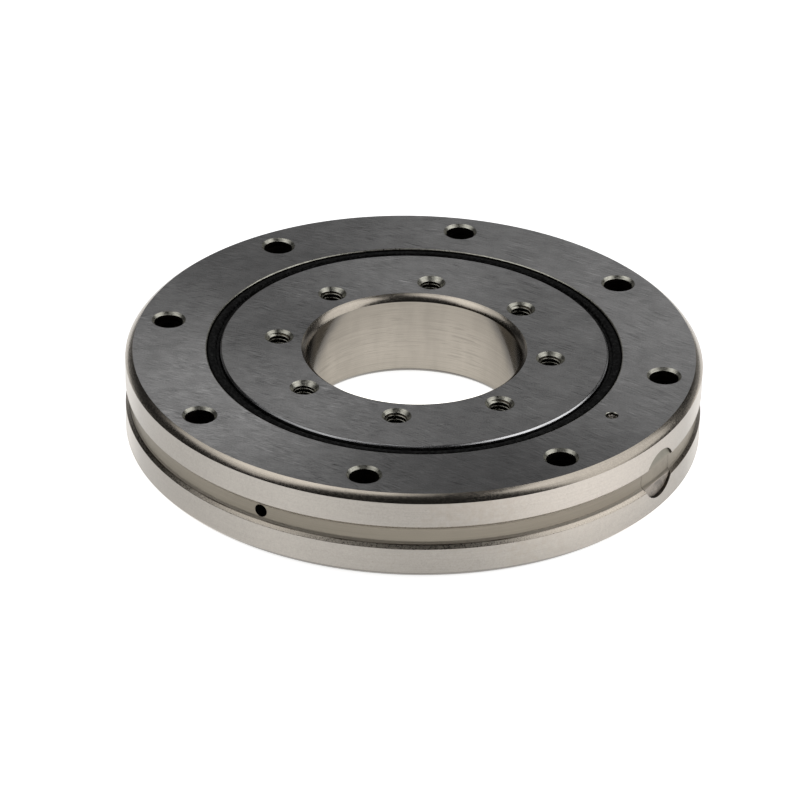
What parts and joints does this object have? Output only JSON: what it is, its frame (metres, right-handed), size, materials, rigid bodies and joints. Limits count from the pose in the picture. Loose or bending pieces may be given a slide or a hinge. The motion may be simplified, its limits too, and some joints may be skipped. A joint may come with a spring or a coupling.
{
  "type": "crossed roller bearing",
  "caption": "Flat crossed roller bearing: one-piece inner and outer rings with mounting holes in both, rubber seals, grease groove and a pinned roller insertion plug.",
  "frame": {"origin": "centre of the underside, on the axis of rotation", "axes": "+Z along the axis of rotation, out of the upper face, where the bolt holes have no counterbores; +X to the right and +Y away from the camera in the picture"},
  "size_m": [0.095, 0.095, 0.015],
  "materials": {
    "outer_ring_steel": "ground faces, turned groove",
    "inner_ring_steel": "ground faces and bore",
    "plug_steel": "turned, matt",
    "pin_steel": "dark, rough end",
    "roller_steel": "lapped",
    "seal_rubber": "black nitrile rubber, slight sheen",
    "spacer_plastic": "moulded natural plastic"
  },
  "bodies": {
    "outer_ring": {"outer_ring": "outer_ring_steel", "insertion_plug": "plug_steel", "taper_pin": "pin_steel", "upper_seal": "seal_rubber", "lower_seal": "seal_rubber"},
    "inner_ring": {"inner_ring": "inner_ring_steel"},
    "spacer_train": {"spacers": "spacer_plastic"},
    "roller_01": {"roller_01": "roller_steel"},
    "roller_02": {"roller_02": "roller_steel"},
    "roller_03": {"roller_03": "roller_steel"},
    "roller_04": {"roller_04": "roller_steel"},
    "roller_05": {"roller_05": "roller_steel"},
    "roller_06": {"roller_06": "roller_steel"},
    "roller_07": {"roller_07": "roller_steel"},
    "roller_08": {"roller_08": "roller_steel"},
    "roller_09": {"roller_09": "roller_steel"},
    "roller_10": {"roller_10": "roller_steel"},
    "roller_11": {"roller_11": "roller_steel"},
    "roller_12": {"roller_12": "roller_steel"},
    "roller_13": {"roller_13": "roller_steel"},
    "roller_14": {"roller_14": "roller_steel"},
    "roller_15": {"roller_15": "roller_steel"},
    "roller_16": {"roller_16": "roller_steel"},
    "roller_17": {"roller_17": "roller_steel"},
    "roller_18": {"roller_18": "roller_steel"},
    "roller_19": {"roller_19": "roller_steel"},
    "roller_20": {"roller_20": "roller_steel"},
    "roller_21": {"roller_21": "roller_steel"},
    "roller_22": {"roller_22": "roller_steel"},
    "roller_23": {"roller_23": "roller_steel"},
    "roller_24": {"roller_24": "roller_steel"},
    "roller_25": {"roller_25": "roller_steel"},
    "roller_26": {"roller_26": "roller_steel"},
    "roller_27": {"roller_27": "roller_steel"},
    "roller_28": {"roller_28": "roller_steel"},
    "roller_29": {"roller_29": "roller_steel"},
    "roller_30": {"roller_30": "roller_steel"},
    "roller_31": {"roller_31": "roller_steel"},
    "roller_32": {"roller_32": "roller_steel"},
    "roller_33": {"roller_33": "roller_steel"},
    "roller_34": {"roller_34": "roller_steel"},
    "roller_35": {"roller_35": "roller_steel"},
    "roller_36": {"roller_36": "roller_steel"}
  },
  "joints": [
    {"name": "inner_ring_turn", "type": "hinge", "parent": "outer_ring", "child": "inner_ring", "pos_m": [0, 0, 0.0075], "axis": [0, 0, 1], "continuous": true},
    {"name": "spacer_orbit", "type": "hinge", "parent": "outer_ring", "child": "spacer_train", "pos_m": [0, 0, 0.0075], "axis": [0, 0, 1], "continuous": true},
    {"name": "roller_01_spin", "type": "hinge", "parent": "spacer_train", "child": "roller_01", "pos_m": [0.033, 0, 0.0075], "axis": [0.7071, 0, 0.7071], "continuous": true},
    {"name": "roller_02_spin", "type": "hinge", "parent": "spacer_train", "child": "roller_02", "pos_m": [0.0325, 0.00573, 0.0075], "axis": [0.6964, 0.1228, -0.7071], "continuous": true},
    {"name": "roller_03_spin", "type": "hinge", "parent": "spacer_train", "child": "roller_03", "pos_m": [0.03101, 0.01129, 0.0075], "axis": [0.6645, 0.2418, 0.7071], "continuous": true},
    {"name": "roller_04_spin", "type": "hinge", "parent": "spacer_train", "child": "roller_04", "pos_m": [0.02858, 0.0165, 0.0075], "axis": [0.6124, 0.3536, -0.7071], "continuous": true},
    {"name": "roller_05_spin", "type": "hinge", "parent": "spacer_train", "child": "roller_05", "pos_m": [0.02528, 0.02121, 0.0075], "axis": [0.5417, 0.4545, 0.7071], "continuous": true},
    {"name": "roller_06_spin", "type": "hinge", "parent": "spacer_train", "child": "roller_06", "pos_m": [0.02121, 0.02528, 0.0075], "axis": [0.4545, 0.5417, -0.7071], "continuous": true},
    {"name": "roller_07_spin", "type": "hinge", "parent": "spacer_train", "child": "roller_07", "pos_m": [0.0165, 0.02858, 0.0075], "axis": [0.3536, 0.6124, 0.7071], "continuous": true},
    {"name": "roller_08_spin", "type": "hinge", "parent": "spacer_train", "child": "roller_08", "pos_m": [0.01129, 0.03101, 0.0075], "axis": [0.2418, 0.6645, -0.7071], "continuous": true},
    {"name": "roller_09_spin", "type": "hinge", "parent": "spacer_train", "child": "roller_09", "pos_m": [0.00573, 0.0325, 0.0075], "axis": [0.1228, 0.6964, 0.7071], "continuous": true},
    {"name": "roller_10_spin", "type": "hinge", "parent": "spacer_train", "child": "roller_10", "pos_m": [0, 0.033, 0.0075], "axis": [0, 0.7071, -0.7071], "continuous": true},
    {"name": "roller_11_spin", "type": "hinge", "parent": "spacer_train", "child": "roller_11", "pos_m": [-0.00573, 0.0325, 0.0075], "axis": [-0.1228, 0.6964, 0.7071], "continuous": true},
    {"name": "roller_12_spin", "type": "hinge", "parent": "spacer_train", "child": "roller_12", "pos_m": [-0.01129, 0.03101, 0.0075], "axis": [-0.2418, 0.6645, -0.7071], "continuous": true},
    {"name": "roller_13_spin", "type": "hinge", "parent": "spacer_train", "child": "roller_13", "pos_m": [-0.0165, 0.02858, 0.0075], "axis": [-0.3536, 0.6124, 0.7071], "continuous": true},
    {"name": "roller_14_spin", "type": "hinge", "parent": "spacer_train", "child": "roller_14", "pos_m": [-0.02121, 0.02528, 0.0075], "axis": [-0.4545, 0.5417, -0.7071], "continuous": true},
    {"name": "roller_15_spin", "type": "hinge", "parent": "spacer_train", "child": "roller_15", "pos_m": [-0.02528, 0.02121, 0.0075], "axis": [-0.5417, 0.4545, 0.7071], "continuous": true},
    {"name": "roller_16_spin", "type": "hinge", "parent": "spacer_train", "child": "roller_16", "pos_m": [-0.02858, 0.0165, 0.0075], "axis": [-0.6124, 0.3536, -0.7071], "continuous": true},
    {"name": "roller_17_spin", "type": "hinge", "parent": "spacer_train", "child": "roller_17", "pos_m": [-0.03101, 0.01129, 0.0075], "axis": [-0.6645, 0.2418, 0.7071], "continuous": true},
    {"name": "roller_18_spin", "type": "hinge", "parent": "spacer_train", "child": "roller_18", "pos_m": [-0.0325, 0.00573, 0.0075], "axis": [-0.6964, 0.1228, -0.7071], "continuous": true},
    {"name": "roller_19_spin", "type": "hinge", "parent": "spacer_train", "child": "roller_19", "pos_m": [-0.033, 0, 0.0075], "axis": [-0.7071, 0, 0.7071], "continuous": true},
    {"name": "roller_20_spin", "type": "hinge", "parent": "spacer_train", "child": "roller_20", "pos_m": [-0.0325, -0.00573, 0.0075], "axis": [-0.6964, -0.1228, -0.7071], "continuous": true},
    {"name": "roller_21_spin", "type": "hinge", "parent": "spacer_train", "child": "roller_21", "pos_m": [-0.03101, -0.01129, 0.0075], "axis": [-0.6645, -0.2418, 0.7071], "continuous": true},
    {"name": "roller_22_spin", "type": "hinge", "parent": "spacer_train", "child": "roller_22", "pos_m": [-0.02858, -0.0165, 0.0075], "axis": [-0.6124, -0.3536, -0.7071], "continuous": true},
    {"name": "roller_23_spin", "type": "hinge", "parent": "spacer_train", "child": "roller_23", "pos_m": [-0.02528, -0.02121, 0.0075], "axis": [-0.5417, -0.4545, 0.7071], "continuous": true},
    {"name": "roller_24_spin", "type": "hinge", "parent": "spacer_train", "child": "roller_24", "pos_m": [-0.02121, -0.02528, 0.0075], "axis": [-0.4545, -0.5417, -0.7071], "continuous": true},
    {"name": "roller_25_spin", "type": "hinge", "parent": "spacer_train", "child": "roller_25", "pos_m": [-0.0165, -0.02858, 0.0075], "axis": [-0.3536, -0.6124, 0.7071], "continuous": true},
    {"name": "roller_26_spin", "type": "hinge", "parent": "spacer_train", "child": "roller_26", "pos_m": [-0.01129, -0.03101, 0.0075], "axis": [-0.2418, -0.6645, -0.7071], "continuous": true},
    {"name": "roller_27_spin", "type": "hinge", "parent": "spacer_train", "child": "roller_27", "pos_m": [-0.00573, -0.0325, 0.0075], "axis": [-0.1228, -0.6964, 0.7071], "continuous": true},
    {"name": "roller_28_spin", "type": "hinge", "parent": "spacer_train", "child": "roller_28", "pos_m": [0, -0.033, 0.0075], "axis": [0, -0.7071, -0.7071], "continuous": true},
    {"name": "roller_29_spin", "type": "hinge", "parent": "spacer_train", "child": "roller_29", "pos_m": [0.00573, -0.0325, 0.0075], "axis": [0.1228, -0.6964, 0.7071], "continuous": true},
    {"name": "roller_30_spin", "type": "hinge", "parent": "spacer_train", "child": "roller_30", "pos_m": [0.01129, -0.03101, 0.0075], "axis": [0.2418, -0.6645, -0.7071], "continuous": true},
    {"name": "roller_31_spin", "type": "hinge", "parent": "spacer_train", "child": "roller_31", "pos_m": [0.0165, -0.02858, 0.0075], "axis": [0.3536, -0.6124, 0.7071], "continuous": true},
    {"name": "roller_32_spin", "type": "hinge", "parent": "spacer_train", "child": "roller_32", "pos_m": [0.02121, -0.02528, 0.0075], "axis": [0.4545, -0.5417, -0.7071], "continuous": true},
    {"name": "roller_33_spin", "type": "hinge", "parent": "spacer_train", "child": "roller_33", "pos_m": [0.02528, -0.02121, 0.0075], "axis": [0.5417, -0.4545, 0.7071], "continuous": true},
    {"name": "roller_34_spin", "type": "hinge", "parent": "spacer_train", "child": "roller_34", "pos_m": [0.02858, -0.0165, 0.0075], "axis": [0.6124, -0.3536, -0.7071], "continuous": true},
    {"name": "roller_35_spin", "type": "hinge", "parent": "spacer_train", "child": "roller_35", "pos_m": [0.03101, -0.01129, 0.0075], "axis": [0.6645, -0.2418, 0.7071], "continuous": true},
    {"name": "roller_36_spin", "type": "hinge", "parent": "spacer_train", "child": "roller_36", "pos_m": [0.0325, -0.00573, 0.0075], "axis": [0.6964, -0.1228, -0.7071], "continuous": true}
  ],
  "couplings": [
    {"joint": "spacer_orbit", "follows": "inner_ring_turn", "ratio": 0.47322},
    {"joint": "roller_01_spin", "follows": "inner_ring_turn", "ratio": -6.5811},
    {"joint": "roller_02_spin", "follows": "inner_ring_turn", "ratio": 6.5811},
    {"joint": "roller_03_spin", "follows": "inner_ring_turn", "ratio": -6.5811},
    {"joint": "roller_04_spin", "follows": "inner_ring_turn", "ratio": 6.5811},
    {"joint": "roller_05_spin", "follows": "inner_ring_turn", "ratio": -6.5811},
    {"joint": "roller_06_spin", "follows": "inner_ring_turn", "ratio": 6.5811},
    {"joint": "roller_07_spin", "follows": "inner_ring_turn", "ratio": -6.5811},
    {"joint": "roller_08_spin", "follows": "inner_ring_turn", "ratio": 6.5811},
    {"joint": "roller_09_spin", "follows": "inner_ring_turn", "ratio": -6.5811},
    {"joint": "roller_10_spin", "follows": "inner_ring_turn", "ratio": 6.5811},
    {"joint": "roller_11_spin", "follows": "inner_ring_turn", "ratio": -6.5811},
    {"joint": "roller_12_spin", "follows": "inner_ring_turn", "ratio": 6.5811},
    {"joint": "roller_13_spin", "follows": "inner_ring_turn", "ratio": -6.5811},
    {"joint": "roller_14_spin", "follows": "inner_ring_turn", "ratio": 6.5811},
    {"joint": "roller_15_spin", "follows": "inner_ring_turn", "ratio": -6.5811},
    {"joint": "roller_16_spin", "follows": "inner_ring_turn", "ratio": 6.5811},
    {"joint": "roller_17_spin", "follows": "inner_ring_turn", "ratio": -6.5811},
    {"joint": "roller_18_spin", "follows": "inner_ring_turn", "ratio": 6.5811},
    {"joint": "roller_19_spin", "follows": "inner_ring_turn", "ratio": -6.5811},
    {"joint": "roller_20_spin", "follows": "inner_ring_turn", "ratio": 6.5811},
    {"joint": "roller_21_spin", "follows": "inner_ring_turn", "ratio": -6.5811},
    {"joint": "roller_22_spin", "follows": "inner_ring_turn", "ratio": 6.5811},
    {"joint": "roller_23_spin", "follows": "inner_ring_turn", "ratio": -6.5811},
    {"joint": "roller_24_spin", "follows": "inner_ring_turn", "ratio": 6.5811},
    {"joint": "roller_25_spin", "follows": "inner_ring_turn", "ratio": -6.5811},
    {"joint": "roller_26_spin", "follows": "inner_ring_turn", "ratio": 6.5811},
    {"joint": "roller_27_spin", "follows": "inner_ring_turn", "ratio": -6.5811},
    {"joint": "roller_28_spin", "follows": "inner_ring_turn", "ratio": 6.5811},
    {"joint": "roller_29_spin", "follows": "inner_ring_turn", "ratio": -6.5811},
    {"joint": "roller_30_spin", "follows": "inner_ring_turn", "ratio": 6.5811},
    {"joint": "roller_31_spin", "follows": "inner_ring_turn", "ratio": -6.5811},
    {"joint": "roller_32_spin", "follows": "inner_ring_turn", "ratio": 6.5811},
    {"joint": "roller_33_spin", "follows": "inner_ring_turn", "ratio": -6.5811},
    {"joint": "roller_34_spin", "follows": "inner_ring_turn", "ratio": 6.5811},
    {"joint": "roller_35_spin", "follows": "inner_ring_turn", "ratio": -6.5811},
    {"joint": "roller_36_spin", "follows": "inner_ring_turn", "ratio": 6.5811}
  ]
}
